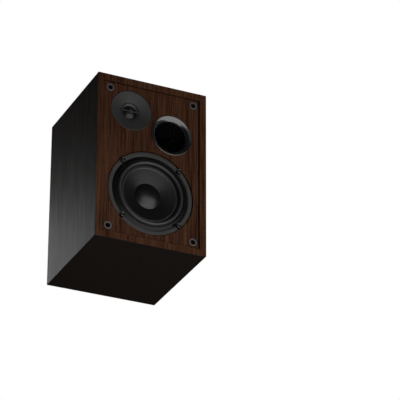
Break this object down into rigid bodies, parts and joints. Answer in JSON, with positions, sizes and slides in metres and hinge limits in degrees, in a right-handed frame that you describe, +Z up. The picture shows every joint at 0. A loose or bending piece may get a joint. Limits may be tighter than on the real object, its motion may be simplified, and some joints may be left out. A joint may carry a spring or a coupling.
{
  "type": "bookshelf speaker",
  "caption": "Two-way bookshelf speaker: walnut front in a black ash cabinet, cone woofer, horn-loaded dome tweeter, round front port, grille sockets, rear binding posts.",
  "frame": {"origin": "centre of the underside", "axes": "+Z up, the front faces -Y, +X is to the right seen from the front"},
  "size_m": [0.176, 0.188, 0.27],
  "materials": {
    "black_ash_vinyl": "black ash vinyl foil on fibreboard, satin",
    "walnut_foil": "dark walnut foil with fine vertical grain, satin",
    "black_steel": "black powder-coated pressed steel, satin",
    "zinc_steel": "zinc-plated steel",
    "screw_steel": "black-coated steel, satin",
    "ferrite": "matt dark grey ferrite",
    "rubber": "black rubber, satin",
    "foam": "black closed-cell foam",
    "cone_paper": "black pressed paper, finely ribbed, satin",
    "cap_plastic": "glossy black domed cap",
    "dome_film": "coated black dome film, glossy",
    "satin_plastic": "dark grey moulded plastic, fine satin",
    "gloss_plastic": "glossy black moulded plastic",
    "black_plastic": "black moulded plastic",
    "copper": "enamelled copper winding",
    "kapton": "amber film former",
    "damper_cloth": "resin-dipped amber damper cloth",
    "brass": "gold-plated brass",
    "red_plastic": "red moulded plastic",
    "phenolic": "brown phenolic board",
    "capacitor_film": "blue shrink sleeve",
    "ceramic": "off-white ceramic",
    "wadding": "white polyester wadding",
    "red_sleeve": "red wire insulation",
    "black_sleeve": "black wire insulation"
  },
  "bodies": {
    "cabinet": {"black_binding_post": "brass", "black_post_collar": "black_plastic", "black_post_nut": "brass", "bottom_panel": "black_ash_vinyl", "crossover_board": "phenolic", "crossover_capacitor": "capacitor_film", "crossover_inductor": "copper", "crossover_resistor": "ceramic", "damping_wadding": "wadding", "front_baffle": "walnut_foil", "front_edge_laminate": "walnut_foil", "grille_socket_1": "black_plastic", "grille_socket_2": "black_plastic", "grille_socket_3": "black_plastic", "grille_socket_4": "black_plastic", "left_side_panel": "black_ash_vinyl", "port_tube": "gloss_plastic", "rear_panel": "black_ash_vinyl", "red_binding_post": "brass", "red_post_collar": "red_plastic", "red_post_nut": "brass", "right_side_panel": "black_ash_vinyl", "terminal_cup": "black_plastic", "terminal_cup_screw_1": "zinc_steel", "terminal_cup_screw_2": "zinc_steel", "terminal_cup_screw_3": "zinc_steel", "terminal_cup_screw_4": "zinc_steel", "top_panel": "black_ash_vinyl", "tweeter_black_wire": "black_sleeve", "tweeter_faceplate": "satin_plastic", "tweeter_magnet": "ferrite", "tweeter_pole_yoke": "zinc_steel", "tweeter_red_wire": "red_sleeve", "tweeter_surround": "rubber", "tweeter_terminal_strip": "phenolic", "tweeter_top_plate": "zinc_steel", "woofer_basket": "black_steel", "woofer_black_wire": "black_sleeve", "woofer_gasket": "foam", "woofer_magnet": "ferrite", "woofer_pole_yoke": "zinc_steel", "woofer_red_wire": "red_sleeve", "woofer_screw_1": "screw_steel", "woofer_screw_2": "screw_steel", "woofer_screw_3": "screw_steel", "woofer_screw_4": "screw_steel", "woofer_spider": "damper_cloth", "woofer_surround": "rubber", "woofer_terminal_strip": "phenolic", "woofer_top_plate": "zinc_steel"},
    "woofer_diaphragm": {"woofer_cone": "cone_paper", "woofer_dust_cap": "cap_plastic", "woofer_coil_former": "kapton", "woofer_voice_coil": "copper"},
    "tweeter_diaphragm": {"tweeter_dome": "dome_film", "tweeter_voice_coil": "copper"},
    "red_washer": {"red_clamp_washer": "brass"},
    "red_knob": {"red_post_knob": "red_plastic"},
    "black_washer": {"black_clamp_washer": "brass"},
    "black_knob": {"black_post_knob": "black_plastic"}
  },
  "joints": [
    {"name": "woofer_travel", "type": "slide", "parent": "cabinet", "child": "woofer_diaphragm", "axis": [0, -1, 0], "range_m": [-0.004, 0.004], "stiffness_N_per_m": 1500, "deforming": ["woofer_surround", "woofer_spider"]},
    {"name": "tweeter_travel", "type": "slide", "parent": "cabinet", "child": "tweeter_diaphragm", "axis": [0, -1, 0], "range_m": [-0.00025, 0.00025], "stiffness_N_per_m": 200, "deforming": ["tweeter_surround"]},
    {"name": "red_washer_travel", "type": "slide", "parent": "cabinet", "child": "red_washer", "axis": [0, 1, 0], "range_m": [0, 0.005]},
    {"name": "red_knob_turn", "type": "hinge", "parent": "red_washer", "child": "red_knob", "pos_m": [0.00953, 0.08, 0.087], "axis": [0, 1, 0], "range_deg": [0, 1800]},
    {"name": "black_washer_travel", "type": "slide", "parent": "cabinet", "child": "black_washer", "axis": [0, 1, 0], "range_m": [0, 0.005]},
    {"name": "black_knob_turn", "type": "hinge", "parent": "black_washer", "child": "black_knob", "pos_m": [-0.00953, 0.08, 0.087], "axis": [0, 1, 0], "range_deg": [0, 1800]}
  ],
  "couplings": [
    {"joint": "red_knob_turn", "follows": "red_washer_travel", "rad_per_m": 6283.2},
    {"joint": "black_knob_turn", "follows": "black_washer_travel", "rad_per_m": 6283.2}
  ]
}
